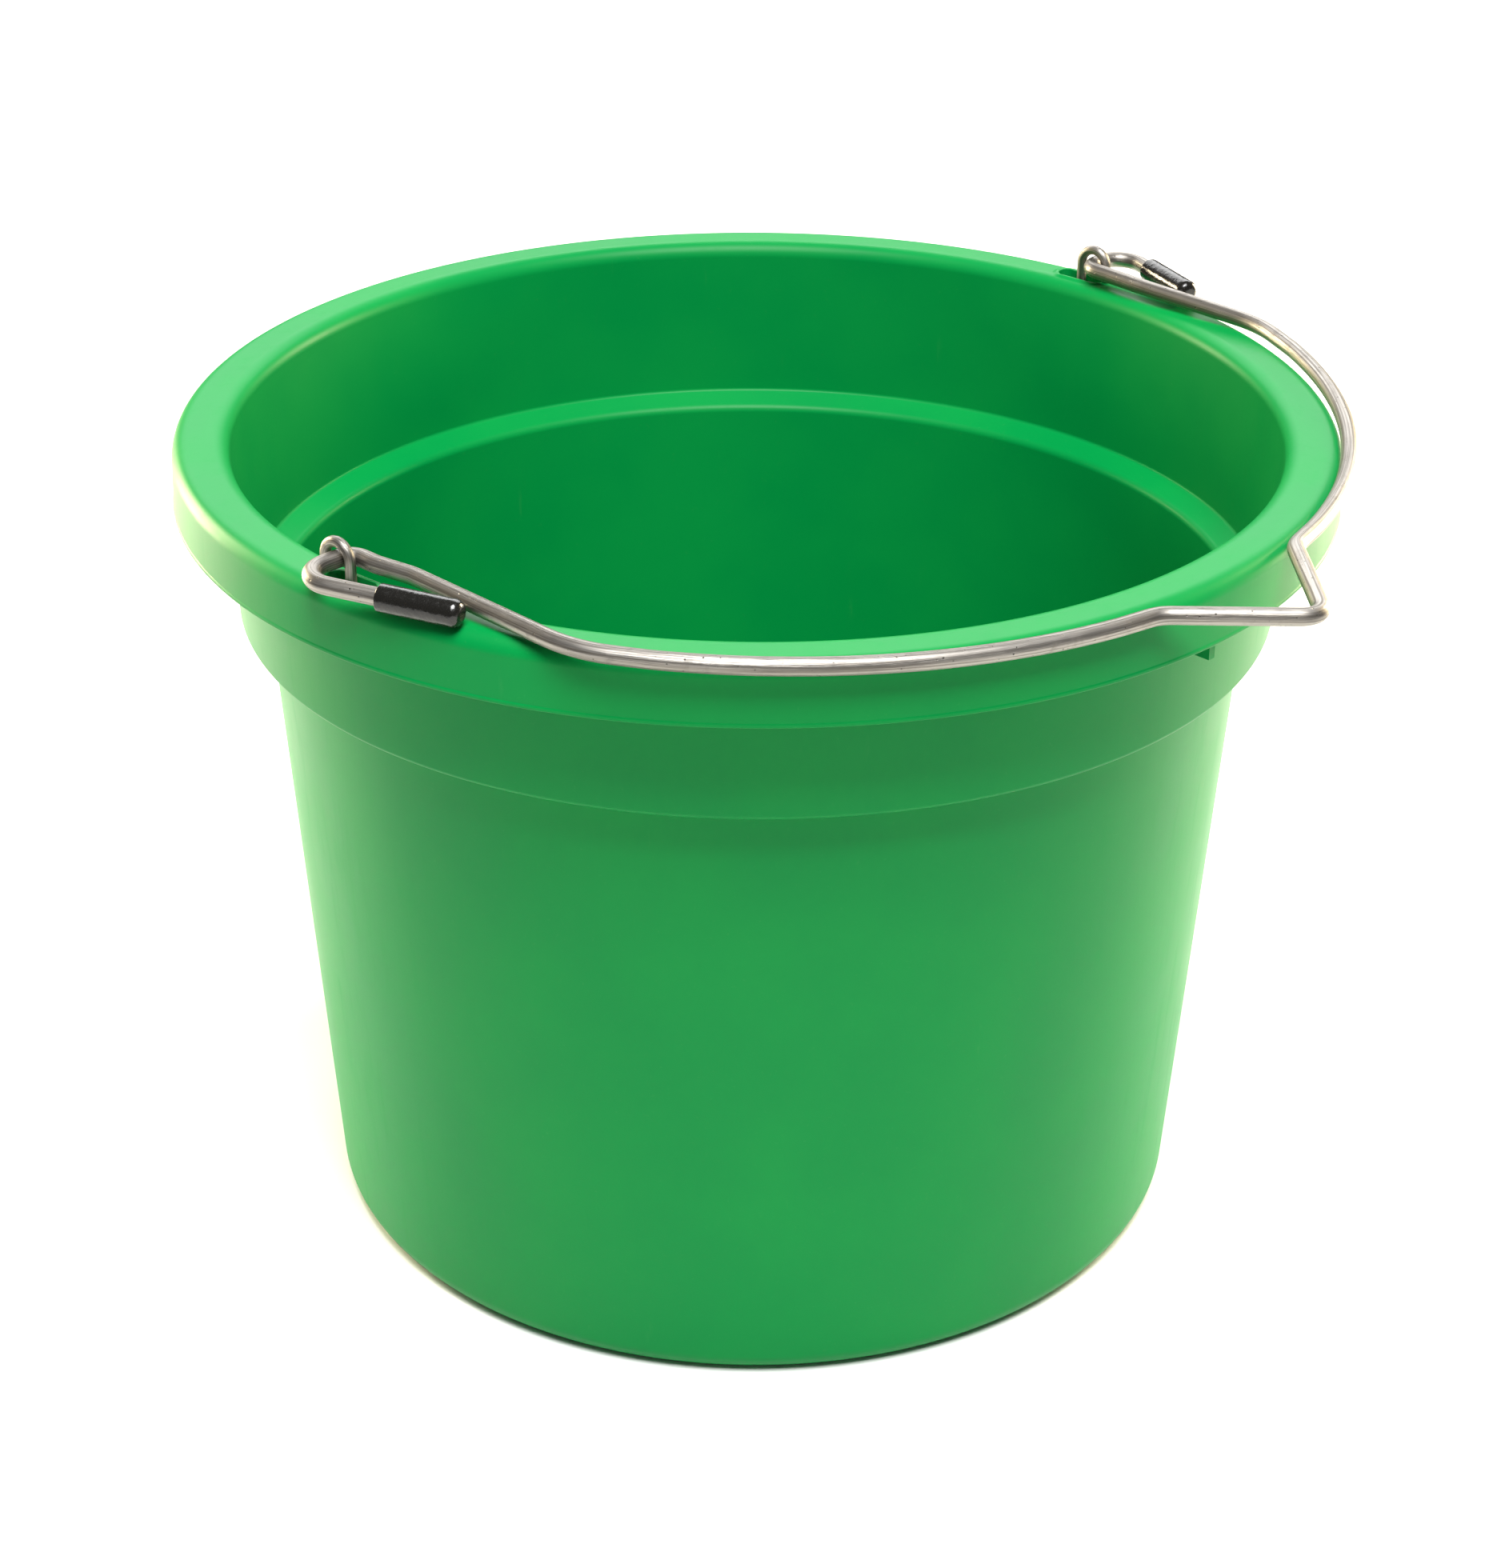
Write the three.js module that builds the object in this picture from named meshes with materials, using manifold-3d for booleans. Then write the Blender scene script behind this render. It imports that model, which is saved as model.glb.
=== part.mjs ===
// Round utility pail with a wire bail, in millimetres, +Z up.
// The origin is the centre of the flat base. The two wire eyes stand on the X axis, and the bail lies
// down towards -Y, across the rim.
import * as THREE from 'three';
import { mergeVertices } from 'three/addons/utils/BufferGeometryUtils.js';
import Module from 'manifold-3d';

// Pail body
const height = 205.6;
const rimRadius = 141;
const baseRadius = 109.4;
const baseCorner = 6;
const floorThickness = 2.6;
const wall = 2.2;
const shoulderHeight = 161.8;
const lowerTopRadius = 120.3;
const shoulderRadius = 127;
const upperTopRadius = 129.2;
const shoulderSlope = 0.6;
const shoulderCorner = 1.4;
const ledgeRise = 1.9;
const ledgeDrop = 2.6;
const ledgeTopCorner = 1;
const ledgeCorner = 2.4;
const rimSections = 80;
const pailCornerStep = 22.5;

// Rolled rim: a flat deck with round edges and a short skirt that hangs from it
const deckThickness = 2.4;
const deckInnerCorner = 4;
const deckOuterCorner = 4;
const underDeckCorner = 1;
const skirtInnerCorner = 1.8;
const skirtDraft = 0.6;
const skirtDrop = 14.7;
const skirtThickness = 2.3;

// Slots in the deck for the eyes
const eyeRadius = 133.5;
const slotLength = 14;
const slotWidth = 5;
const lipWidth = 1.3;
const lipHeight = 0.5;
const lipRoot = 1;
const slotEndSteps = 10;

// Stacking fins under the rim
const finAzimuth = THREE.MathUtils.degToRad(-93.5);
const finThickness = 2;
const finReach = 4.3;
const finOverlap = 1;

// Wire eyes
const eyeWire = 2.5;
const eyePitch = 7.8;
const pivotLift = 4.45;
const freeEndLift = 1;
const footClearance = 0.4;
const footBend = 2.5;
const footBack = 8;
const footTurn = 1.75;
const footFront = 13.5;
const archSteps = 14;
const footBendSteps = 6;
const footTurnSteps = 9;

// Wire bail
const bailWire = 4.1;
const bailTilt = THREE.MathUtils.degToRad(2);
const armOffset = 128.5;
const loopRadius = 142.6;
const loopShift = -1.5;
const gripShift = -2.2;
const gripHalfWidth = 25;
const gripTip = 165.5;
const gripTipBend = 5;
const gripShoulderBend = 8;
const armBend = 30;
const armFlare = 8;
const armStraight = 17.6;
const armShift = 0.75;
const hookCorner = new Map([[-1, 147.5], [1, 145.9]]);
const hookBend = 6.5;
const hookCornerStep = 15;
const hookSteps = 7;
const loopSteps = 12;
const loopCornerStep = 12;
const tailAngle = THREE.MathUtils.degToRad(20.5);

// Vinyl end caps
const capDiameter = 6.2;
const capLength = 19.5;
const capEnd = 2.6;
const capCorner = 2;
const capGap = 0.3;
const capMouth = new Map([[-1, 21.8], [1, 13.6]]);
const capCornerSteps = 4;
const capSections = 16;

const wireSides = 12;
const pivotHeight = height + pivotLift;

// The eyes' stems stand on the X axis and their arches lean to opposite sides of it, which turns the
// line through the two arches, the bail's hinge, by a small angle.
const hingeTurn = -Math.atan2(eyePitch / 2, eyeRadius);
const hingeRadius = Math.hypot(eyePitch / 2, eyeRadius);

const greenPlastic = new THREE.MeshStandardMaterial({ color: 0x1f9a48, roughness: 0.28, metalness: 0 });
const galvanisedWire = new THREE.MeshStandardMaterial({ color: 0xa9a39c, roughness: 0.42, metalness: 0.9 });
const blackVinyl = new THREE.MeshStandardMaterial({ color: 0x14130f, roughness: 0.22, metalness: 0 });

// ---- solids ------------------------------------------------------------------------------------

const wasm = await Module();
wasm.setup();

function toSolid(geometry) {
  const plain = geometry.index ? geometry.toNonIndexed() : geometry.clone();
  plain.deleteAttribute('normal');
  plain.deleteAttribute('uv');
  const merged = mergeVertices(plain, 1e-4);
  return new wasm.Manifold(new wasm.Mesh({
    numProp: 3,
    vertProperties: new Float32Array(merged.attributes.position.array),
    triVerts: new Uint32Array(merged.index.array),
  }));
}

function toGeometry(solid) {
  const mesh = solid.getMesh();
  const geometry = new THREE.BufferGeometry();
  geometry.setAttribute('position', new THREE.BufferAttribute(new Float32Array(mesh.vertProperties), 3));
  geometry.setIndex(new THREE.BufferAttribute(new Uint32Array(mesh.triVerts), 1));
  geometry.computeVertexNormals();
  return geometry;
}

// ---- outlines ----------------------------------------------------------------------------------

// Points of a round stretch about (cx, cy), from angle a to angle b in degrees.
function arcPoints(cx, cy, radius, a, b, steps) {
  const points = [];
  for (let i = 0; i <= steps; i += 1) {
    const angle = THREE.MathUtils.degToRad(a + ((b - a) * i) / steps);
    points.push(new THREE.Vector2(cx + radius * Math.cos(angle), cy + radius * Math.sin(angle)));
  }
  return points;
}

// An open outline whose corners are rounded: each corner is { x, y, r }, with r left out for a sharp one.
function roundedPath(corners, degreesPerStep) {
  const points = [];
  corners.forEach((corner, i) => {
    const here = new THREE.Vector2(corner.x, corner.y);
    if (!corner.r) {
      points.push(here);
      return;
    }
    const before = new THREE.Vector2(corners[i - 1].x, corners[i - 1].y).sub(here).normalize();
    const after = new THREE.Vector2(corners[i + 1].x, corners[i + 1].y).sub(here).normalize();
    const half = Math.acos(THREE.MathUtils.clamp(before.dot(after), -1, 1)) / 2;
    const centre = before.clone().add(after).normalize().multiplyScalar(corner.r / Math.sin(half)).add(here);
    const tangent = corner.r / Math.tan(half);
    const start = before.multiplyScalar(tangent).add(here);
    const end = after.multiplyScalar(tangent).add(here);
    const from = start.clone().sub(centre).angle();
    let sweep = end.clone().sub(centre).angle() - from;
    if (sweep > Math.PI) sweep -= 2 * Math.PI;
    if (sweep < -Math.PI) sweep += 2 * Math.PI;
    const steps = Math.max(2, Math.ceil(Math.abs(THREE.MathUtils.radToDeg(sweep)) / degreesPerStep));
    for (let k = 0; k <= steps; k += 1) {
      const angle = from + (sweep * k) / steps;
      points.push(new THREE.Vector2(Math.cos(angle), Math.sin(angle)).multiplyScalar(corner.r).add(centre));
    }
  });
  return points;
}

// ---- pail --------------------------------------------------------------------------------------

// Half section of the pail, anticlockwise from the centre of the base: x is the radius, y the height.
function pailSection() {
  const deckInner = upperTopRadius - wall;
  const skirtBottom = height - skirtDrop;
  const skirtTop = rimRadius - skirtDraft;
  const innerBase = baseRadius - wall;
  const innerLedge = lowerTopRadius - wall;
  const outerLedge = shoulderRadius - wall;
  const ledgeTop = shoulderHeight + ledgeRise;
  return roundedPath([
    { x: 0, y: 0 },
    { x: baseRadius, y: 0, r: baseCorner },
    { x: lowerTopRadius, y: shoulderHeight - shoulderSlope },
    { x: shoulderRadius, y: shoulderHeight, r: shoulderCorner },
    { x: upperTopRadius, y: height - deckThickness, r: underDeckCorner },
    { x: skirtTop - skirtThickness, y: height - deckThickness, r: skirtInnerCorner },
    { x: rimRadius - skirtThickness, y: skirtBottom },
    { x: rimRadius, y: skirtBottom },
    { x: skirtTop, y: height, r: deckOuterCorner },
    { x: deckInner, y: height, r: deckInnerCorner },
    { x: outerLedge, y: ledgeTop, r: ledgeTopCorner },
    { x: innerLedge, y: ledgeTop - ledgeDrop, r: ledgeCorner },
    { x: innerBase, y: floorThickness, r: baseCorner - wall },
    { x: 0, y: floorThickness },
  ], pailCornerStep);
}

// A solid of revolution about Z from a closed half section that touches the axis.
function turned(section, segments) {
  const geometry = new THREE.LatheGeometry(section, segments);
  geometry.rotateX(Math.PI / 2);
  return geometry;
}

// Flat bar with round ends, length along Y, from height low to height high.
function stadium(length, width, low, high) {
  const r = width / 2;
  const run = length / 2 - r;
  const outline = arcPoints(0, run, r, 0, 180, slotEndSteps)
    .concat(arcPoints(0, -run, r, 180, 360, slotEndSteps));
  const bar = new THREE.ExtrudeGeometry(new THREE.Shape(outline), { depth: high - low, bevelEnabled: false });
  bar.translate(0, 0, low);
  return bar;
}

// Radial plate between the wall and the skirt, reaching below the skirt.
function stackingFin(azimuth) {
  const inner = upperTopRadius - finOverlap;
  const outer = rimRadius - skirtThickness + finOverlap;
  const low = height - skirtDrop - finReach;
  const high = height - deckThickness + finOverlap;
  const plate = new THREE.BoxGeometry(outer - inner, finThickness, high - low);
  plate.translate((inner + outer) / 2, 0, (low + high) / 2);
  plate.rotateZ(azimuth);
  return plate;
}

function pail() {
  let body = toSolid(turned(pailSection(), rimSections));
  for (const side of [-1, 1]) {
    const lipLength = slotLength + 2 * lipWidth;
    const lip = stadium(lipLength, slotWidth + 2 * lipWidth, height - lipRoot, height + lipHeight);
    body = body.add(toSolid(lip.translate(side * eyeRadius, 0, 0)));
    const slot = stadium(slotLength, slotWidth, height - 2 * deckThickness, height + 2 * lipHeight);
    body = body.subtract(toSolid(slot.translate(side * eyeRadius, 0, 0)));
  }
  for (const azimuth of [finAzimuth, finAzimuth + Math.PI]) {
    body = body.add(toSolid(stackingFin(azimuth)));
  }
  return toGeometry(body);
}

// ---- wires -------------------------------------------------------------------------------------

// A route through given stations; straight between them, so a section is made at each station only.
class Route extends THREE.Curve {
  constructor(stations) {
    super();
    this.stations = stations;
  }

  getPoint(t, target = new THREE.Vector3()) {
    const along = THREE.MathUtils.clamp(t, 0, 1) * (this.stations.length - 1);
    const index = Math.min(Math.floor(along), this.stations.length - 2);
    return target.lerpVectors(this.stations[index], this.stations[index + 1], along - index);
  }

  getUtoTmapping(u) {
    return u;
  }
}

function polygon(diameter, sides) {
  return new THREE.Shape(arcPoints(0, 0, diameter / 2, 0, 360 * (1 - 1 / sides), sides - 1));
}

function wireAlong(stations, diameter) {
  return new THREE.ExtrudeGeometry(polygon(diameter, wireSides), {
    steps: stations.length - 1,
    extrudePath: new Route(stations),
  });
}

// One eye: a stem up through the slot, an arch over the pivot and a free end just above the deck.
// Below the deck the wire turns back, doubles under itself and runs past the slot's other end.
// x is measured from the arch's centre towards the free end, y is the height.
function eyeStations() {
  const stem = -eyePitch / 2;
  const foot = height - deckThickness - footClearance - eyeWire / 2;
  const lowFoot = foot - 2 * footTurn;
  const start = [new THREE.Vector2(eyePitch / 2, height + freeEndLift)];
  const arch = arcPoints(0, pivotHeight, eyePitch / 2, 0, 180, archSteps);
  const stemBend = arcPoints(stem - footBend, foot + footBend, footBend, 0, -90, footBendSteps);
  const turn = arcPoints(stem - footBack + footTurn, foot - footTurn, footTurn, 90, 270, footTurnSteps);
  const end = [new THREE.Vector2(stem + footFront, lowFoot)];
  return [start, arch, stemBend, turn, end].flat();
}

// The eye on side -1 or +1, with its stem in the middle of the slot.
function eye(side) {
  const along = (p) => -side * (p.x + eyePitch / 2);
  const stations = eyeStations().map((p) => new THREE.Vector3(side * eyeRadius, along(p), p.y));
  return wireAlong(stations, eyeWire);
}

// The bail's own plane: x runs along the hinge from the pail's centre, y towards the grip.
// Each capped tail leans back towards the arm in a straight line from the hook's corner on the hinge.
function alongTail(side, distance) {
  return new THREE.Vector2(
    hookCorner.get(side) - distance * Math.sin(tailAngle),
    distance * Math.cos(tailAngle),
  );
}

function armOnLoop(side) {
  return side * armOffset + armShift;
}

// The bail's route on side -1 or +1, from the capped end through the eye to the arm.
// x runs outwards here, so it is mirrored for side -1.
function hookPath(side) {
  const reach = eyePitch / 2;
  const end = alongTail(side, capMouth.get(side) + capLength - capEnd - capGap);
  const tail = roundedPath([
    { x: end.x, y: end.y },
    { x: hookCorner.get(side), y: 0, r: hookBend },
    { x: hingeRadius, y: 0 },
  ], hookCornerStep);
  const around = arcPoints(hingeRadius, reach, reach, -90, -180, hookSteps);
  const arm = [
    new THREE.Vector2(hingeRadius - reach, armFlare),
    new THREE.Vector2(side * armOnLoop(side), armStraight),
  ];
  return tail.slice(0, -1).concat(around, arm);
}

// Centreline of the whole bail in its own plane, from the end on -X to the end on +X.
function bailPath() {
  const armEnd = (side) => {
    const x = armOnLoop(side);
    return { x, y: Math.sqrt(loopRadius ** 2 - (x - loopShift) ** 2), r: armBend };
  };
  const shoulder = (side) => {
    const x = gripShift + side * gripHalfWidth;
    return { x, y: Math.sqrt(loopRadius ** 2 - (x - loopShift) ** 2), r: gripShoulderBend };
  };
  const sweep = (from, to) => {
    const angle = (p) => Math.atan2(p.y, p.x - loopShift);
    const corners = [];
    for (let i = 1; i < loopSteps; i += 1) {
      const a = angle(from) + ((angle(to) - angle(from)) * i) / loopSteps;
      corners.push({ x: loopShift + loopRadius * Math.cos(a), y: loopRadius * Math.sin(a) });
    }
    return corners;
  };
  const left = hookPath(-1).map((p) => ({ x: -p.x, y: p.y }));
  const right = hookPath(1).map((p) => ({ x: p.x, y: p.y })).reverse();
  return roundedPath([
    ...left,
    armEnd(-1),
    ...sweep(armEnd(-1), shoulder(-1)),
    shoulder(-1),
    { x: gripShift, y: gripTip, r: gripTipBend },
    shoulder(1),
    ...sweep(shoulder(1), armEnd(1)),
    armEnd(1),
    ...right,
  ], loopCornerStep);
}

// From the bail's plane to the pail's frame: hinged at the eyes' arches, tilted down to the rim.
function inBailPlane(p) {
  const y = -p.y * Math.cos(bailTilt);
  const z = pivotHeight - p.y * Math.sin(bailTilt);
  return new THREE.Vector3(p.x, y, z).applyAxisAngle(new THREE.Vector3(0, 0, 1), hingeTurn);
}

function bail() {
  return wireAlong(bailPath().map(inBailPlane), bailWire);
}

// ---- end caps ----------------------------------------------------------------------------------

// Half section of a sleeve closed by a round end, with its mouth at height 0.
function capSection() {
  const outer = capDiameter / 2;
  const bore = bailWire / 2 + capGap;
  const roundEnd = arcPoints(outer - capCorner, capLength - capCorner, capCorner, 0, 90, capCornerSteps);
  return [
    new THREE.Vector2(0, capLength - capEnd),
    new THREE.Vector2(bore, capLength - capEnd),
    new THREE.Vector2(bore, 0),
    new THREE.Vector2(outer, 0),
    ...roundEnd,
    new THREE.Vector2(0, capLength),
  ];
}

// A cap on the tail on side -1 or +1.
function cap(side) {
  const geometry = turned(capSection(), capSections);
  const mouth = alongTail(side, capMouth.get(side));
  const end = alongTail(side, capMouth.get(side) + capLength);
  const from = inBailPlane({ x: side * mouth.x, y: mouth.y });
  const axis = inBailPlane({ x: side * end.x, y: end.y }).sub(from).normalize();
  geometry.applyQuaternion(new THREE.Quaternion().setFromUnitVectors(new THREE.Vector3(0, 0, 1), axis));
  return geometry.translate(from.x, from.y, from.z);
}

// ---- the model ---------------------------------------------------------------------------------

function named(name, geometry, material) {
  const mesh = new THREE.Mesh(geometry, material);
  mesh.name = name;
  return mesh;
}

const model = new THREE.Group();
model.add(named('pail', pail(), greenPlastic));
model.add(named('bail', bail(), galvanisedWire));
model.add(named('left_eye', eye(-1), galvanisedWire));
model.add(named('right_eye', eye(1), galvanisedWire));
model.add(named('left_cap', cap(-1), blackVinyl));
model.add(named('right_cap', cap(1), blackVinyl));

export default model;
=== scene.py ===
# Utility pail with a wire bail: smooth visual pieces, materials, light and camera round the packed
# frame. Lengths are in millimetres in the row frame, and MM turns them into metres.
import math

import bpy
import numpy as np
from mathutils import Matrix, Vector


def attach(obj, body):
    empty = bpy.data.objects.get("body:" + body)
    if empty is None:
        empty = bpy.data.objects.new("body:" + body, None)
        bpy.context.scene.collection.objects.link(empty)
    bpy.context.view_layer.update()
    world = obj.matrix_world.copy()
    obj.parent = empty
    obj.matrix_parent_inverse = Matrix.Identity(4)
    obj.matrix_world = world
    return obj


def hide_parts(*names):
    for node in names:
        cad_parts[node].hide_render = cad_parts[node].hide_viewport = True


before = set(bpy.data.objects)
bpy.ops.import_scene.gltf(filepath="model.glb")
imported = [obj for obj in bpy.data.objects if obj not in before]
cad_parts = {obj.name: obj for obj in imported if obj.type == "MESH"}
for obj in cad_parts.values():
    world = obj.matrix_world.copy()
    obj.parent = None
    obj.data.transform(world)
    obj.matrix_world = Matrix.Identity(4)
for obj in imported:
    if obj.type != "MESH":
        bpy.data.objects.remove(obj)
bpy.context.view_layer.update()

MM = 0.001

# ---- driving dimensions -------------------------------------------------------------------------

# Pail body
HEIGHT = 205.6
RIM_RADIUS = 141.0
BASE_RADIUS = 109.4
BASE_CORNER = 6.0
FLOOR = 2.6
WALL = 2.2
SHOULDER_HEIGHT = 161.8
SHOULDER_SLOPE = 0.6
LOWER_TOP_RADIUS = 120.3
SHOULDER_RADIUS = 127.0
UPPER_TOP_RADIUS = 129.2
SHOULDER_CORNER = 1.4
STEP_FILLET = 0.8
LEDGE_RISE = 1.9
LEDGE_DROP = 2.6
LEDGE_TOP_CORNER = 1.0
LEDGE_CORNER = 2.4

# Rim
DECK = 2.4
DECK_CORNER = 4.0
UNDER_DECK_CORNER = 1.0
SKIRT_DRAFT = 0.6
SKIRT_DROP = 14.7
SKIRT = 2.3
SKIRT_INNER_CORNER = 1.8
SKIRT_EDGE = 0.35
FLASH_PROUD = 0.22
FLASH_HEIGHT = 0.8
FLASH_TOP = 1.12
FLASH_LIP_BEND = 0.2
FLASH_ROOT_BEND = 0.3

# Slots in the deck, and the fins under the rim
EYE_RADIUS = 133.5
SLOT_LENGTH = 14.0
SLOT_WIDTH = 5.0
LIP_WIDTH = 1.3
LIP_HEIGHT = 0.5
LIP_SLOPE_START = 0.4
LIP_SLOPE_RUN = 0.8
LIP_INNER_LIMIT = -0.45
FIN_AZIMUTH = -93.5
FIN_THICKNESS = 2.0
FIN_REACH = 4.3
FIN_OVERLAP = 1.0

# Wire eyes
EYE_WIRE = 2.5
EYE_PITCH = 7.8
PIVOT_LIFT = 4.45
PIVOT_HEIGHT = HEIGHT + PIVOT_LIFT
FREE_END_LIFT = 1.0
FOOT_CLEARANCE = 0.4
FOOT_BEND = 2.5
FOOT_BACK = 8.0
FOOT_TURN = 1.75
FOOT_FRONT = 13.5

# Wire bail
BAIL_WIRE = 4.1
BAIL_TILT = math.radians(2)
ARM_OFFSET = 128.5
ARM_SHIFT = 0.75
LOOP_RADIUS = 142.6
LOOP_SHIFT = -1.5
GRIP_SHIFT = -2.2
GRIP_HALF_WIDTH = 25.0
GRIP_TIP = 165.5
GRIP_TIP_BEND = 5.0
GRIP_SHOULDER_BEND = 8.0
ARM_BEND = 30.0
ARM_FLARE = 8.0
ARM_STRAIGHT = 17.6
HOOK_CORNER = {-1: 147.5, 1: 145.9}
HOOK_BEND = 6.5
TAIL_ANGLE = math.radians(20.5)

# The hinge runs through the arches of the two eyes, which stand to opposite sides of their stems
HINGE_TURN = -math.atan2(EYE_PITCH / 2, EYE_RADIUS)
HINGE_RADIUS = math.hypot(EYE_PITCH / 2, EYE_RADIUS)

# Vinyl end caps
CAP_DIAMETER = 6.2
CAP_LENGTH = 19.5
CAP_END = 2.6
CAP_CORNER = 2.0
CAP_MOUTH_CORNER = 0.4
CAP_GAP = 0.3
CAP_MOUTH = {-1: 21.8, 1: 13.6}

# Mesh detail: millimetres between points, degrees between sections, points round a bar
RIM_SPACING = 0.4
SLOT_ZONE_DEG = 5.6
FINE_TURN_DEG = 0.22
PLAIN_TURN_DEG = 1.5
CURVE_STEP_DEG = 3
PAIL_CORNER_STEP_DEG = 6
CAP_CORNER_STEP_DEG = 9
SLOT_END_STEPS = 24
ARCH_STEPS = 60
FOOT_BEND_STEPS = 24
FOOT_TURN_STEPS = 30
HOOK_RING_STEPS = 30
LOOP_POINTS = 50
ARM_ROOM = 5
GRIP_ROOM = 3
EYE_SPACING = 0.3
EYE_EASE = 0.3
EYE_SIDES = 24
EYE_END_ROUND = 0.5
BAIL_SPACING = 0.5
BAIL_EASE = 0.9
BAIL_SIDES = 40
BAIL_END_ROUND = 0.6
CAP_SPACING = 1.5
CAP_TURN_DEG = 360 / 48
END_ROUND_ANGLES = (0, 30, 60)
WIRE_SHARP_DEG = 50
PAIL_SHARP_DEG = 40

# Studio: the floor in millimetres, the lamps in metres and watts
FLOOR_HALF_SIZE = 1500.0
WARM = (1.0, 0.84, 0.56)
ROOM_STRENGTH = 0.12
LAMP_AIM = (0.0, 0.0, 0.1)

# Camera, as the photograph was taken: degrees and millimetres, with its clipping in metres
CAMERA_AZIMUTH = -49.2
CAMERA_ELEVATION = 27.8
CAMERA_DISTANCE = 842.8
CAMERA_TARGET_HEIGHT = 103.8
CAMERA_SIDESTEP = -1.158
CAMERA_ROLL = 0.323
CAMERA_LENS = 75.36
SENSOR = 36.0
CLIP_START = 0.01
CLIP_END = 50


# ---- outlines -----------------------------------------------------------------------------------

def arc_points(cx, cy, radius, start, end, steps):
    """Points of a round stretch about (cx, cy), from angle start to angle end in degrees."""
    angles = np.radians(np.linspace(start, end, steps + 1))
    return [(cx + radius * math.cos(a), cy + radius * math.sin(a)) for a in angles]


def rounded_path(corners, step):
    """An open outline of corners (x, y, radius), a point every step degrees where the radius isn't 0."""
    points = []
    for i, (x, y, radius) in enumerate(corners):
        here = Vector((x, y))
        if radius == 0:
            points.append((x, y))
            continue
        before = (Vector(corners[i - 1][:2]) - here).normalized()
        after = (Vector(corners[i + 1][:2]) - here).normalized()
        half = before.angle(after) / 2
        centre = here + (before + after).normalized() * (radius / math.sin(half))
        tangent = radius / math.tan(half)
        start = here + before * tangent - centre
        end = here + after * tangent - centre
        first = math.degrees(math.atan2(start.y, start.x))
        sweep = math.degrees(math.atan2(end.y, end.x)) - first
        sweep = (sweep + 180) % 360 - 180
        steps = max(3, math.ceil(abs(sweep) / step))
        points += arc_points(centre.x, centre.y, radius, first, first + sweep, steps)
    return points


def divided(points, spacing, wanted):
    """The same outline, with extra points along stretches where wanted(x, y) is true of the middle."""
    out = [points[0]]
    for (x0, y0), (x1, y1) in zip(points, points[1:]):
        gap = math.hypot(x1 - x0, y1 - y0)
        cuts = math.ceil(gap / spacing) if wanted((x0 + x1) / 2, (y0 + y1) / 2) else 1
        out += [(x0 + (x1 - x0) * k / cuts, y0 + (y1 - y0) * k / cuts) for k in range(1, cuts + 1)]
    return out


def smooth_line(points, spacing, reach):
    """A centreline resampled every spacing and eased over about reach, with its ends kept."""
    line = np.array([tuple(p) for p in points], float)
    along = np.concatenate([[0], np.cumsum(np.linalg.norm(np.diff(line, axis=0), axis=1))])
    count = max(2, math.ceil(along[-1] / spacing))
    at = np.linspace(0, along[-1], count + 1)
    line = np.column_stack([np.interp(at, along, line[:, k]) for k in range(line.shape[1])])
    for _ in range(math.ceil(2 * (reach / spacing) ** 2)):
        line[1:-1] = line[1:-1] / 2 + (line[:-2] + line[2:]) / 4
    return line


# ---- meshes -------------------------------------------------------------------------------------

def new_object(name, verts, faces):
    """A smooth-shaded mesh object. verts are in millimetres."""
    mesh = bpy.data.meshes.new(name)
    mesh.from_pydata([tuple(v) for v in np.asarray(verts, float) * MM], [], faces)
    mesh.update()
    mesh.shade_smooth()
    obj = bpy.data.objects.new(name, mesh)
    bpy.context.scene.collection.objects.link(obj)
    return obj


def lathe(name, section, turns, place=None):
    """A solid of revolution about Z. section is (radius, height), anticlockwise from axis to axis."""
    angles = np.radians(turns)
    count = len(angles)
    rings = section[1:-1]
    verts = [(r * math.cos(a), r * math.sin(a), z) for r, z in rings for a in angles]
    low, high = len(verts), len(verts) + 1
    verts += [(0, 0, section[0][1]), (0, 0, section[-1][1])]
    faces = []
    for k in range(count):
        n = (k + 1) % count
        faces.append((low, n, k))
        for j in range(len(rings) - 1):
            a, b = j * count, (j + 1) * count
            faces.append((a + k, a + n, b + n, b + k))
        top = (len(rings) - 1) * count
        faces.append((high, top + k, top + n))
    if place is not None:
        verts = [place @ Vector(v) for v in verts]
    return new_object(name, verts, faces)


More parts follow.
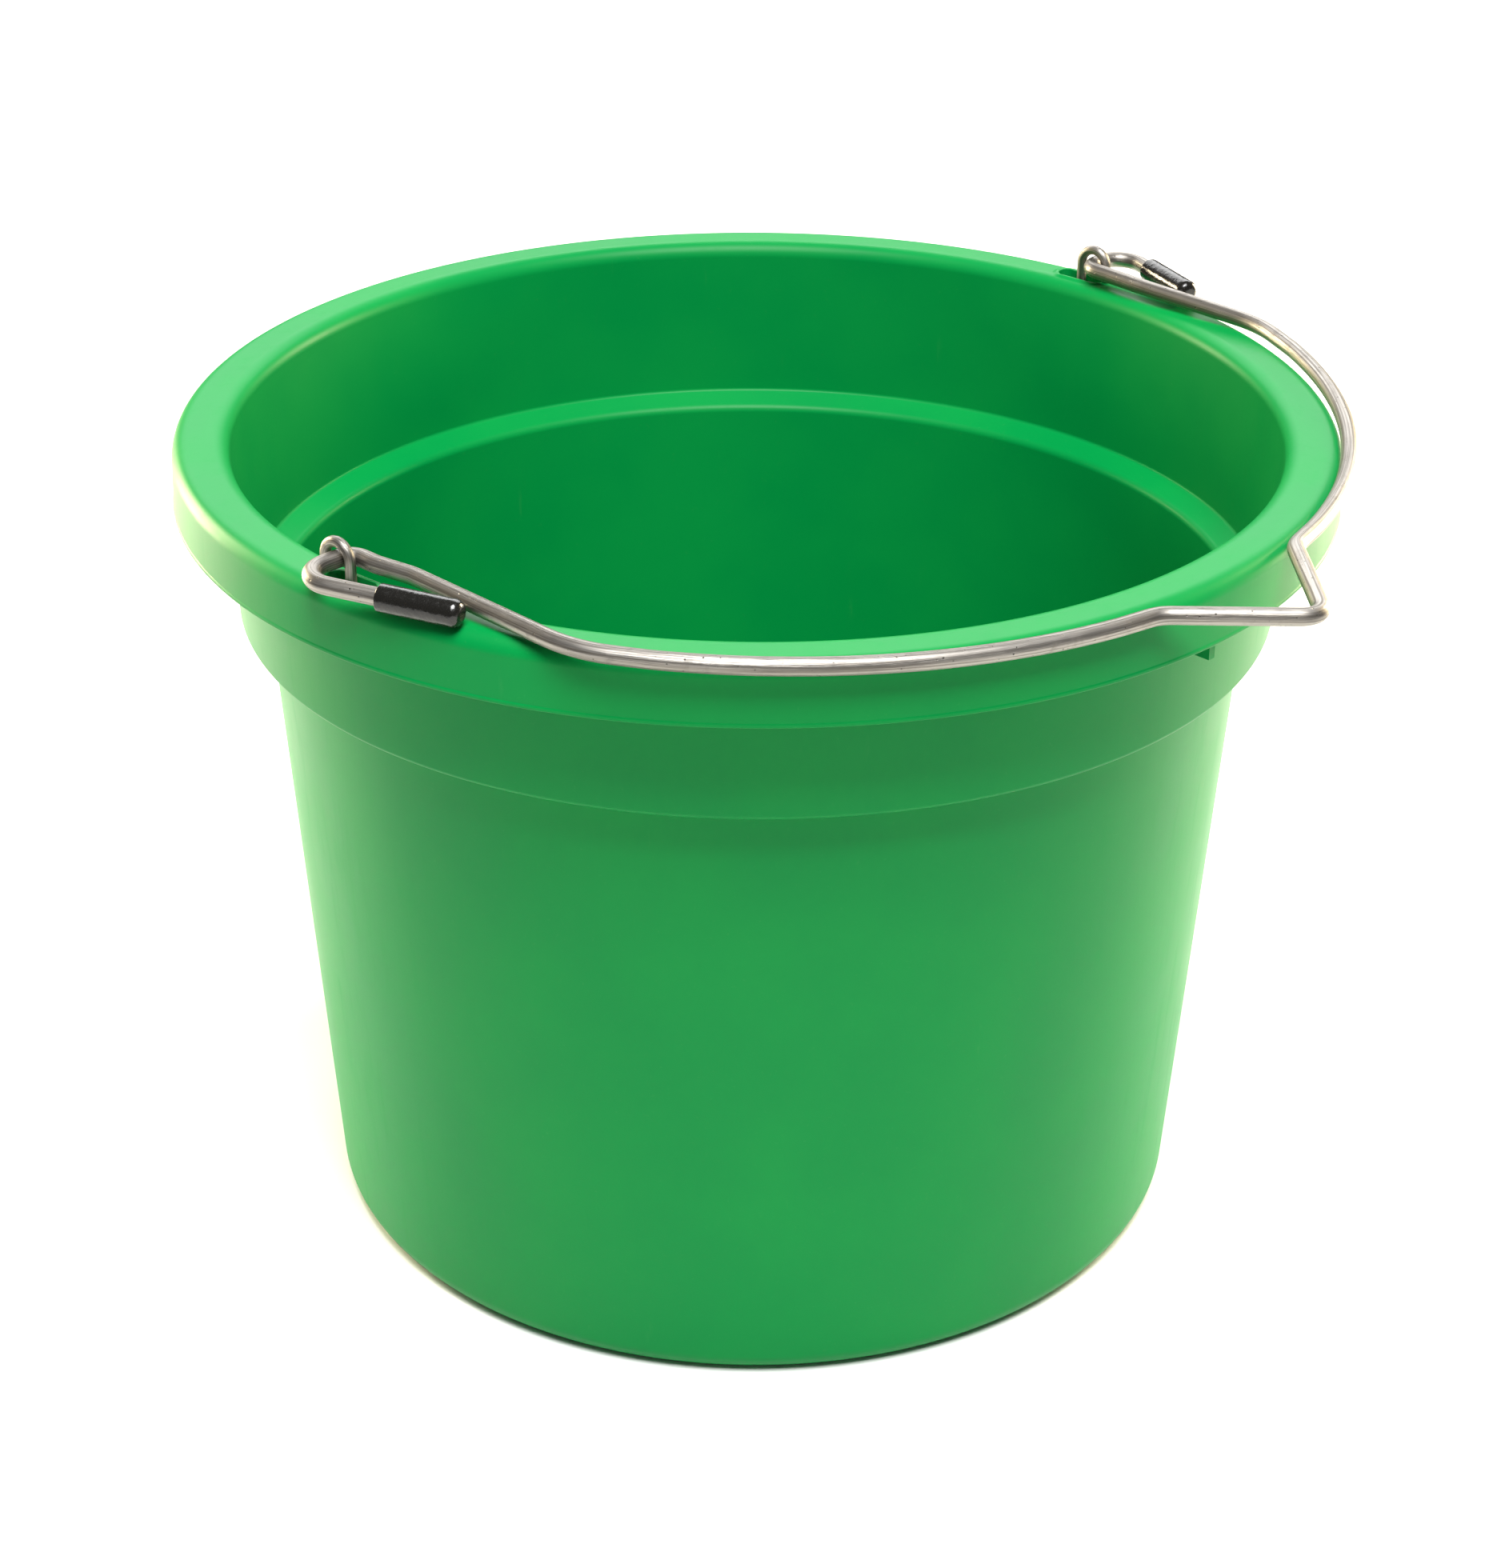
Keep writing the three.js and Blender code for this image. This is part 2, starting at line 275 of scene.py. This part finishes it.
def tube(name, line, diameter, sides, end_round):
    """A round bar along a centreline, with rounded ends.

    The attribute wire_coord holds each vertex's place along and round the bar, in metres.
    """
    line = np.asarray(line, float)
    tangents = np.gradient(line, axis=0)
    tangents /= np.linalg.norm(tangents, axis=1)[:, None]
    # The first ring is measured from a level direction, or from another one if the line starts upright.
    side = np.cross(tangents[0], (0, 0, 1.0))
    if np.linalg.norm(side) < 0.5:
        side = np.cross(tangents[0], (1.0, 0, 0))
    along = np.concatenate([[0], np.cumsum(np.linalg.norm(np.diff(line, axis=0), axis=1))])
    ends = [(end_round * (1 - math.sin(t)), end_round * (1 - math.cos(t)))
            for t in np.radians(END_ROUND_ANGLES)]
    verts, coords = [], []
    total = along[-1]
    ring_angles = np.linspace(0, 2 * math.pi, sides, endpoint=False)

    def ring(centre, tangent, across, radius, place):
        across = across - tangent * across.dot(tangent)
        across = across / np.linalg.norm(across)
        other = np.cross(tangent, across)
        for a in ring_angles:
            verts.append(centre + (across * math.cos(a) + other * math.sin(a)) * radius)
            coords.append((place, math.cos(a) * diameter / 2, math.sin(a) * diameter / 2))
        return across

    radius = diameter / 2
    for inset, back in ends:
        centre = line[0] - tangents[0] * (back - end_round)
        side = ring(centre, tangents[0], side, radius - inset, 0)
    for k in range(len(line)):
        if end_round < along[k] < total - end_round:
            side = ring(line[k], tangents[k], side, radius, along[k])
    for inset, back in reversed(ends):
        centre = line[-1] + tangents[-1] * (back - end_round)
        side = ring(centre, tangents[-1], side, radius - inset, total)
    rings = len(verts) // sides
    faces = []
    for j in range(rings - 1):
        a, b = j * sides, (j + 1) * sides
        for k in range(sides):
            n = (k + 1) % sides
            faces.append((a + k, a + n, b + n, b + k))
    faces.append(tuple(range(sides - 1, -1, -1)))
    faces.append(tuple(range((rings - 1) * sides, rings * sides)))
    obj = new_object(name, verts, faces)
    coord = obj.data.attributes.new("wire_coord", "FLOAT_VECTOR", "POINT")
    coord.data.foreach_set("vector", (np.array(coords) * MM).astype(np.float32).ravel())
    obj.data.set_sharp_from_angle(angle=math.radians(WIRE_SHARP_DEG))
    return obj


def boolean(obj, other, operation):
    """obj joined with, or cut by, other, which is used up."""
    cut = obj.modifiers.new("boolean", "BOOLEAN")
    cut.object = other
    cut.operation = operation
    cut.solver = "EXACT"
    evaluated = obj.evaluated_get(bpy.context.evaluated_depsgraph_get())
    mesh = bpy.data.meshes.new_from_object(evaluated)
    obj.modifiers.clear()
    obj.data = mesh
    bpy.data.objects.remove(other)


# ---- pail ---------------------------------------------------------------------------------------

def pail_section():
    """Half section of the pail: (radius, height), anticlockwise from the centre of the base."""
    deck_inner = UPPER_TOP_RADIUS - WALL
    skirt_low = HEIGHT - SKIRT_DROP
    skirt_top = RIM_RADIUS - SKIRT_DRAFT
    ledge_top = SHOULDER_HEIGHT + LEDGE_RISE
    return rounded_path([
        (0, 0, 0),
        (BASE_RADIUS, 0, BASE_CORNER),
        (LOWER_TOP_RADIUS, SHOULDER_HEIGHT - SHOULDER_SLOPE, STEP_FILLET),
        (SHOULDER_RADIUS, SHOULDER_HEIGHT, SHOULDER_CORNER),
        (UPPER_TOP_RADIUS, HEIGHT - DECK, UNDER_DECK_CORNER),
        (skirt_top - SKIRT, HEIGHT - DECK, SKIRT_INNER_CORNER),
        (RIM_RADIUS - SKIRT, skirt_low, SKIRT_EDGE),
        (RIM_RADIUS, skirt_low, SKIRT_EDGE),
        (RIM_RADIUS - FLASH_PROUD / 4, skirt_low + FLASH_HEIGHT, FLASH_LIP_BEND),
        (RIM_RADIUS - FLASH_PROUD, skirt_low + FLASH_TOP, FLASH_ROOT_BEND),
        (skirt_top, HEIGHT, DECK_CORNER),
        (deck_inner, HEIGHT, DECK_CORNER),
        (SHOULDER_RADIUS - WALL, ledge_top, LEDGE_TOP_CORNER),
        (LOWER_TOP_RADIUS - WALL, ledge_top - LEDGE_DROP, LEDGE_CORNER),
        (BASE_RADIUS - WALL, FLOOR, BASE_CORNER - WALL),
        (0, FLOOR, 0),
    ], PAIL_CORNER_STEP_DEG)


def pail_turns():
    """Azimuths of the pail's sections in degrees, close together at the two slots."""
    zone = np.arange(-SLOT_ZONE_DEG, SLOT_ZONE_DEG, FINE_TURN_DEG)
    count = round((180 - 2 * SLOT_ZONE_DEG) / PLAIN_TURN_DEG)
    plain = np.linspace(SLOT_ZONE_DEG, 180 - SLOT_ZONE_DEG, count, endpoint=False)
    half = np.concatenate([zone, plain])
    return np.concatenate([half, half + 180])


def raise_lips(obj):
    """Raises a soft lip round each slot on the rim's deck."""
    co = np.empty(len(obj.data.vertices) * 3)
    obj.data.vertices.foreach_get("co", co)
    co = co.reshape(-1, 3) / MM
    run = (SLOT_LENGTH - SLOT_WIDTH) / 2
    gap_x = np.abs(co[:, 0]) - EYE_RADIUS
    gap_y = np.maximum(np.abs(co[:, 1]) - run, 0)
    outside = np.hypot(gap_x, gap_y) - SLOT_WIDTH / 2
    slope = (outside - LIP_WIDTH * LIP_SLOPE_START) / (LIP_WIDTH * LIP_SLOPE_RUN)
    rise = np.cos(np.clip(slope, LIP_INNER_LIMIT, 1) * math.pi) / 2 + 0.5
    on_deck = co[:, 2] > HEIGHT - DECK_CORNER / 2
    co[:, 2] += np.where(on_deck, rise * LIP_HEIGHT, 0)
    obj.data.vertices.foreach_set("co", (co * MM).ravel())
    obj.data.update()


def stadium(name, length, width, low, high, x):
    """Upright bar with round ends, length along Y."""
    r = width / 2
    run = length / 2 - r
    outline = arc_points(0, run, r, 0, 180, SLOT_END_STEPS)
    outline += arc_points(0, -run, r, 180, 360, SLOT_END_STEPS)
    count = len(outline)
    verts = [(x + px, py, z) for z in (low, high) for px, py in outline]
    faces = [(k, (k + 1) % count, (k + 1) % count + count, k + count) for k in range(count)]
    faces += [tuple(range(count - 1, -1, -1)), tuple(range(count, 2 * count))]
    return new_object(name, verts, faces)


def fin(name, azimuth):
    """Radial plate between the wall and the skirt, with its lower edge below the skirt."""
    inner = UPPER_TOP_RADIUS - FIN_OVERLAP
    outer = RIM_RADIUS - SKIRT_DRAFT - SKIRT + FIN_OVERLAP
    low = HEIGHT - SKIRT_DROP - FIN_REACH
    high = HEIGHT - DECK + FIN_OVERLAP
    turn = Matrix.Rotation(math.radians(azimuth), 3, "Z")
    half = FIN_THICKNESS / 2
    corners = [(x, y, z) for z in (low, high) for x, y in
               ((inner, -half), (outer, -half), (outer, half), (inner, half))]
    faces = [(3, 2, 1, 0), (4, 5, 6, 7)]
    faces += [(k, (k + 1) % 4, (k + 1) % 4 + 4, k + 4) for k in range(4)]
    return new_object(name, [turn @ Vector(c) for c in corners], faces)


def make_pail():
    def on_rim(x, y):
        return x > UPPER_TOP_RADIUS - WALL and y > HEIGHT - DECK_CORNER
    obj = lathe("pail_shell", divided(pail_section(), RIM_SPACING, on_rim), pail_turns())
    raise_lips(obj)
    for azimuth in (FIN_AZIMUTH, FIN_AZIMUTH + 180):
        boolean(obj, fin("fin", azimuth), "UNION")
    for side in (-1, 1):
        cutter = stadium("slot", SLOT_LENGTH, SLOT_WIDTH, HEIGHT - 2 * DECK, HEIGHT + 2 * LIP_HEIGHT,
                         side * EYE_RADIUS)
        boolean(obj, cutter, "DIFFERENCE")
    obj.data.set_sharp_from_angle(angle=math.radians(PAIL_SHARP_DEG))
    return obj


# ---- wires and caps -----------------------------------------------------------------------------

def make_eye(name, side):
    """A wire eye on side -1 or +1: stem in the slot, arch over the hinge, free end above the deck."""
    stem = -EYE_PITCH / 2
    foot = HEIGHT - DECK - FOOT_CLEARANCE - EYE_WIRE / 2
    route = [(EYE_PITCH / 2, HEIGHT + FREE_END_LIFT)]
    route += arc_points(0, PIVOT_HEIGHT, EYE_PITCH / 2, 0, 180, ARCH_STEPS)
    route += arc_points(stem - FOOT_BEND, foot + FOOT_BEND, FOOT_BEND, 0, -90, FOOT_BEND_STEPS)
    route += arc_points(stem - FOOT_BACK + FOOT_TURN, foot - FOOT_TURN, FOOT_TURN, 90, 270,
                        FOOT_TURN_STEPS)
    route += [(stem + FOOT_FRONT, foot - 2 * FOOT_TURN)]
    line = [(side * EYE_RADIUS, -side * (x + EYE_PITCH / 2), z) for x, z in route]
    line = smooth_line(line, EYE_SPACING, EYE_EASE)
    return tube(name, line, EYE_WIRE, EYE_SIDES, EYE_END_ROUND)


def along_tail(side, distance):
    """The point of a capped tail at that distance from the hook's corner, in the bail's own plane."""
    return HOOK_CORNER[side] - math.sin(TAIL_ANGLE) * distance, math.cos(TAIL_ANGLE) * distance


def arm_on_loop(side):
    """Where the bail's arm meets its round sweep."""
    return side * ARM_OFFSET + ARM_SHIFT


def hook_path(side):
    """The bail's route in its own plane, x outwards, from the capped end through the eye to the arm."""
    reach = EYE_PITCH / 2
    tail = rounded_path([
        (*along_tail(side, CAP_MOUTH[side] + CAP_LENGTH - CAP_END - CAP_GAP), 0),
        (HOOK_CORNER[side], 0, HOOK_BEND),
        (HINGE_RADIUS, 0, 0),
    ], CURVE_STEP_DEG)
    ring = arc_points(HINGE_RADIUS, reach, reach, -90, -180, HOOK_RING_STEPS)
    arm = [(HINGE_RADIUS - reach, ARM_FLARE), (side * arm_on_loop(side), ARM_STRAIGHT)]
    return tail[:-1] + ring + arm


def loop_point(angle):
    """A point of the bail's big round sweep."""
    return LOOP_SHIFT + LOOP_RADIUS * math.cos(angle), LOOP_RADIUS * math.sin(angle)


def bail_path():
    """Centreline of the whole bail in its own plane, from the end on -X to the end on +X."""
    def arm_angle(side):
        return math.acos((arm_on_loop(side) - LOOP_SHIFT) / LOOP_RADIUS)

    def grip_angle(side):
        return math.acos((GRIP_SHIFT + side * GRIP_HALF_WIDTH - LOOP_SHIFT) / LOOP_RADIUS)

    def sweep(start, end):
        return [(*loop_point(a), 0) for a in np.linspace(start, end, LOOP_POINTS)[1:-1]]

    left = [(-x, y, 0) for x, y in hook_path(-1)]
    right = [(x, y, 0) for x, y in reversed(hook_path(1))]
    # The sweeps leave out ARM_ROOM and GRIP_ROOM points, to make room for the bends at their ends.
    return rounded_path([
        *left,
        (*loop_point(arm_angle(-1)), ARM_BEND),
        *sweep(arm_angle(-1), grip_angle(-1))[ARM_ROOM:-GRIP_ROOM],
        (*loop_point(grip_angle(-1)), GRIP_SHOULDER_BEND),
        (GRIP_SHIFT, GRIP_TIP, GRIP_TIP_BEND),
        (*loop_point(grip_angle(1)), GRIP_SHOULDER_BEND),
        *sweep(grip_angle(1), arm_angle(1))[GRIP_ROOM:-ARM_ROOM],
        (*loop_point(arm_angle(1)), ARM_BEND),
        *right,
    ], CURVE_STEP_DEG)


def in_bail_plane(x, y):
    """From the bail's plane to the row frame: hinged at the eyes' arches, tilted down to the rim."""
    tilted = Vector((x, -y * math.cos(BAIL_TILT), PIVOT_HEIGHT - y * math.sin(BAIL_TILT)))
    return Matrix.Rotation(HINGE_TURN, 3, "Z") @ tilted


def make_bail():
    line = smooth_line([in_bail_plane(x, y) for x, y in bail_path()], BAIL_SPACING, BAIL_EASE)
    return tube("bail_wire", line, BAIL_WIRE, BAIL_SIDES, BAIL_END_ROUND)


def cap_section():
    """Half section of a dipped sleeve with a round end: (radius, height), with its mouth at height 0."""
    outer = CAP_DIAMETER / 2
    bore = BAIL_WIRE / 2 + CAP_GAP
    inside = CAP_LENGTH - CAP_END
    return rounded_path([
        (0, inside, 0),
        (bore, inside, 0),
        (bore, 0, CAP_MOUTH_CORNER / 2),
        (outer, 0, CAP_MOUTH_CORNER),
        (outer, CAP_LENGTH, CAP_CORNER),
        (0, CAP_LENGTH, 0),
    ], CAP_CORNER_STEP_DEG)


def make_cap(name, side):
    mouth = along_tail(side, CAP_MOUTH[side])
    end = along_tail(side, CAP_MOUTH[side] + CAP_LENGTH)
    start = in_bail_plane(side * mouth[0], mouth[1])
    axis = in_bail_plane(side * end[0], end[1]) - start
    place = Matrix.Translation(start) @ axis.to_track_quat("Z", "Y").to_matrix().to_4x4()
    section = divided(cap_section(), CAP_SPACING, lambda x, y: x > BAIL_WIRE / 2)
    obj = lathe(name, section, np.arange(0, 360, CAP_TURN_DEG), place)
    obj.data.set_sharp_from_angle(angle=math.radians(WIRE_SHARP_DEG))
    return obj


# ---- materials ----------------------------------------------------------------------------------

class Nodes:
    """Short calls for building one material's node tree."""

    def __init__(self, name):
        self.material = bpy.data.materials.new(name)
        self.material.use_nodes = True
        self.tree = self.material.node_tree
        self.shader = self.tree.nodes["Principled BSDF"]

    def node(self, kind, **settings):
        made = self.tree.nodes.new("ShaderNode" + kind)
        for key, value in settings.items():
            setattr(made, key, value)
        return made

    def link(self, output, target):
        self.tree.links.new(output, target)

    def put(self, target, value):
        """Sets a socket to a number or a colour, or links it to an output."""
        if isinstance(value, bpy.types.NodeSocket):
            self.link(value, target)
        else:
            target.default_value = value

    def shade(self, **inputs):
        for name, value in inputs.items():
            self.put(self.shader.inputs[name.replace("_", " ")], value)

    def calc(self, operation, a, b=0.0):
        made = self.node("Math", operation=operation)
        self.put(made.inputs[0], a)
        self.put(made.inputs[1], b)
        return made.outputs[0]

    def scaled(self, vector, scale):
        made = self.node("Mapping")
        self.link(vector, made.inputs["Vector"])
        made.inputs["Scale"].default_value = scale
        return made.outputs[0]

    def noise(self, vector, scale, detail=3.0, roughness=0.5):
        made = self.node("TexNoise")
        self.link(vector, made.inputs["Vector"])
        made.inputs["Scale"].default_value = scale
        made.inputs["Detail"].default_value = detail
        made.inputs["Roughness"].default_value = roughness
        return made.outputs["Fac"]

    def spots(self, vector, scale, size):
        """1 inside small round spots and 0 outside. size is their radius as a share of their spacing."""
        cells = self.node("TexVoronoi")
        self.link(vector, cells.inputs["Vector"])
        cells.inputs["Scale"].default_value = scale
        return self.ramp(cells.outputs["Distance"], size, size * 0.5)

    def ramp(self, value, start, end, low=0.0, high=1.0):
        """value from start to end becomes low to high."""
        made = self.node("MapRange", interpolation_type="SMOOTHSTEP")
        self.link(value, made.inputs["Value"])
        for name, number in (("From Min", start), ("From Max", end), ("To Min", low), ("To Max", high)):
            made.inputs[name].default_value = number
        return made.outputs[0]

    def mix(self, factor, a, b):
        made = self.node("Mix", data_type="RGBA")
        self.put(made.inputs["Factor"], factor)
        self.put(made.inputs["A"], a)
        self.put(made.inputs["B"], b)
        return made.outputs["Result"]

    def bump(self, height, distance, strength=1.0, under=None):
        made = self.node("Bump")
        made.inputs["Strength"].default_value = strength
        made.inputs["Distance"].default_value = distance
        self.link(height, made.inputs["Height"])
        if under is not None:
            self.link(under, made.inputs["Normal"])
        return made.outputs["Normal"]


def green_plastic():
    """Moulded polyethylene: a faint cloudiness, fine mottling, rub marks and slight waviness."""
    n = Nodes("green_plastic")
    place = n.node("TexCoord").outputs["Object"]
    cloud = n.noise(place, 28, 2)
    mottle = n.noise(place, 900, 4, 0.6)
    rub = n.noise(n.scaled(place, (1, 1, 0.12)), 260, 6, 0.65)
    deep = (0.0, 0.212, 0.042, 1)
    light = (0.001, 0.228, 0.043, 1)
    worn = (0.05, 0.28, 0.08, 1)
    colour = n.mix(n.ramp(cloud, 0.3, 0.7), deep, light)
    colour = n.mix(n.ramp(mottle, 0.62, 0.8, 0, 0.16), colour, worn)
    colour = n.mix(n.ramp(rub, 0.66, 0.8, 0, 0.12), colour, worn)
    rough = n.calc("ADD", n.ramp(cloud, 0.3, 0.7, 0.38, 0.42), n.ramp(rub, 0.5, 0.75, 0, 0.04))
    wave = n.bump(n.noise(place, 45, 2), 0.0001)
    fine = n.bump(mottle, 0.00001, 0.6, wave)
    n.shade(Base_Color=colour, Roughness=rough, Normal=fine, Specular_IOR_Level=0.12, IOR=1.5)
    return n.material


def galvanised_wire():
    """Drawn zinc-coated wire: lengthwise streaks, grey bloom and small dark pits."""
    n = Nodes("galvanised_wire")
    coord = n.node("Attribute", attribute_name="wire_coord").outputs["Vector"]
    streak = n.noise(n.scaled(coord, (0.008, 1, 1)), 2000, 4, 0.6)
    fine = n.noise(n.scaled(coord, (0.04, 1, 1)), 4200, 4, 0.6)
    bloom = n.noise(coord, 260, 4, 0.6)
    pits = n.spots(coord, 800, 0.2)
    some = n.ramp(n.noise(coord, 420, 2), 0.5, 0.6)
    pit = n.calc("MULTIPLY", pits, some)
    pale = (0.33, 0.309, 0.282, 1)
    grey = (0.15, 0.137, 0.120, 1)
    dark = (0.028, 0.024, 0.02, 1)
    colour = n.mix(n.ramp(streak, 0.38, 0.6), grey, pale)
    colour = n.mix(n.ramp(fine, 0.55, 0.75, 0, 0.35), colour, grey)
    colour = n.mix(n.ramp(bloom, 0.55, 0.8, 0, 0.5), colour, grey)
    colour = n.mix(n.calc("MULTIPLY", pit, 0.85), colour, dark)
    rough = n.calc("ADD", n.ramp(streak, 0.3, 0.7, 0.46, 0.34), n.ramp(bloom, 0.5, 0.8, 0, 0.14))
    along = n.bump(streak, 0.00006)
    pitted = n.bump(n.calc("SUBTRACT", fine, pit), 0.00008, 1.0, along)
    n.shade(Base_Color=colour, Metallic=0.92, Roughness=rough, Normal=pitted)
    return n.material


def black_vinyl():
    """Dipped vinyl: glossy black with a slight orange peel and a little dust."""
    n = Nodes("black_vinyl")
    place = n.node("TexCoord").outputs["Object"]
    peel = n.noise(place, 700, 3)
    dust = n.noise(place, 3200, 5, 0.7)
    black = (0.0075, 0.007, 0.006, 1)
    dusty = (0.07, 0.065, 0.055, 1)
    colour = n.mix(n.ramp(dust, 0.62, 0.78, 0, 0.15), black, dusty)
    rough = n.ramp(dust, 0.4, 0.75, 0.16, 0.34)
    n.shade(Base_Color=colour, Roughness=rough, Normal=n.bump(peel, 0.00012), IOR=1.53)
    return n.material


def white_floor():
    """Matt pale floor with a barely seen tone, which the lamps turn white."""
    n = Nodes("white_floor")
    tone = n.noise(n.node("TexCoord").outputs["Object"], 3, 2)
    n.shade(Base_Color=n.mix(tone, (0.77, 0.77, 0.76, 1), (0.79, 0.79, 0.78, 1)), Roughness=0.9)
    return n.material


# ---- the pieces ---------------------------------------------------------------------------------

def finish_piece(obj, material, body, node):
    obj.data.materials.clear()
    obj.data.materials.append(material)
    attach(obj, body)
    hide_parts(node)


plastic = green_plastic()
wire = galvanised_wire()
vinyl = black_vinyl()
finish_piece(make_pail(), plastic, "pail", "pail")
finish_piece(make_bail(), wire, "bail", "bail")
for side_name, side in (("left", -1), ("right", 1)):
    eye_node = side_name + "_eye"
    eye = make_eye(side_name + "_wire_eye", side)
    finish_piece(eye, wire, eye_node, eye_node)
    cap = make_cap(side_name + "_end_cap", side)
    finish_piece(cap, vinyl, "bail", side_name + "_cap")


# ---- floor, light and camera --------------------------------------------------------------------

def make_floor():
    size = FLOOR_HALF_SIZE
    corners = [(-size, -size, 0), (size, -size, 0), (size, size, 0), (-size, size, 0)]
    floor = new_object("floor", corners, [(0, 1, 2, 3)])
    floor.data.materials.append(white_floor())


def towards(azimuth, elevation):
    """Unit vector from the object to a place seen at that azimuth and elevation, in degrees."""
    a, e = math.radians(azimuth), math.radians(elevation)
    return Vector((math.sin(a) * math.cos(e), -math.cos(a) * math.cos(e), math.sin(e)))


def softbox(name, azimuth, elevation, distance, width, height, power, colour=(1, 1, 1)):
    """A rectangular lamp at an azimuth measured from the camera's, turned to the middle of the pail."""
    light = bpy.data.lights.new(name, "AREA")
    light.color = colour
    light.shape = "RECTANGLE"
    light.size = width
    light.size_y = height
    light.energy = power
    obj = bpy.data.objects.new(name, light)
    bpy.context.scene.collection.objects.link(obj)
    back = towards(CAMERA_AZIMUTH + azimuth, elevation)
    obj.location = Vector(LAMP_AIM) + back * distance
    obj.rotation_mode = "QUATERNION"
    obj.rotation_quaternion = (-back).to_track_quat("-Z", "Y")
    obj.visible_camera = False


def make_world():
    """White to the camera, and a dim room to everything else."""
    world = bpy.data.worlds.new("studio")
    world.use_nodes = True
    bpy.context.scene.world = world
    tree = world.node_tree
    background = tree.nodes["Background"]
    path = tree.nodes.new("ShaderNodeLightPath")
    strength = tree.nodes.new("ShaderNodeMapRange")
    tree.links.new(path.outputs["Is Camera Ray"], strength.inputs["Value"])
    strength.inputs["To Min"].default_value = ROOM_STRENGTH
    strength.inputs["To Max"].default_value = 1.0
    tree.links.new(strength.outputs[0], background.inputs["Strength"])
    background.inputs["Color"].default_value = (1, 1, 0.99, 1)


def make_camera():
    data = bpy.data.cameras.new("camera")
    data.sensor_width = SENSOR
    data.lens = CAMERA_LENS
    data.clip_start = CLIP_START
    data.clip_end = CLIP_END
    obj = bpy.data.objects.new("camera", data)
    bpy.context.scene.collection.objects.link(obj)
    back = towards(CAMERA_AZIMUTH, CAMERA_ELEVATION)
    sideways = towards(CAMERA_AZIMUTH + 90, 0)
    target = Vector((0, 0, CAMERA_TARGET_HEIGHT))
    obj.location = (target + back * CAMERA_DISTANCE + sideways * CAMERA_SIDESTEP) * MM
    obj.rotation_mode = "QUATERNION"
    look = (-back).to_track_quat("-Z", "Y")
    roll = Matrix.Rotation(math.radians(CAMERA_ROLL), 3, "Z").to_quaternion()
    obj.rotation_quaternion = look @ roll
    bpy.context.scene.camera = obj


make_floor()
make_world()
make_camera()
softbox("key_softbox", azimuth=10, elevation=68, distance=2.2, width=1.1, height=1.1, power=98)
softbox("back_softbox", azimuth=180, elevation=34, distance=2.2, width=2.6, height=1.0, power=40)
for side_name, side in (("left", -1), ("right", 1)):
    softbox(side_name + "_softbox", azimuth=side * 122, elevation=10, distance=0.9, width=0.22,
            height=0.5, power=17, colour=WARM)
bpy.context.scene.view_settings.view_transform = "Standard"


def plain(box):
    return [[round(value, 6) for value in corner] for corner in box]
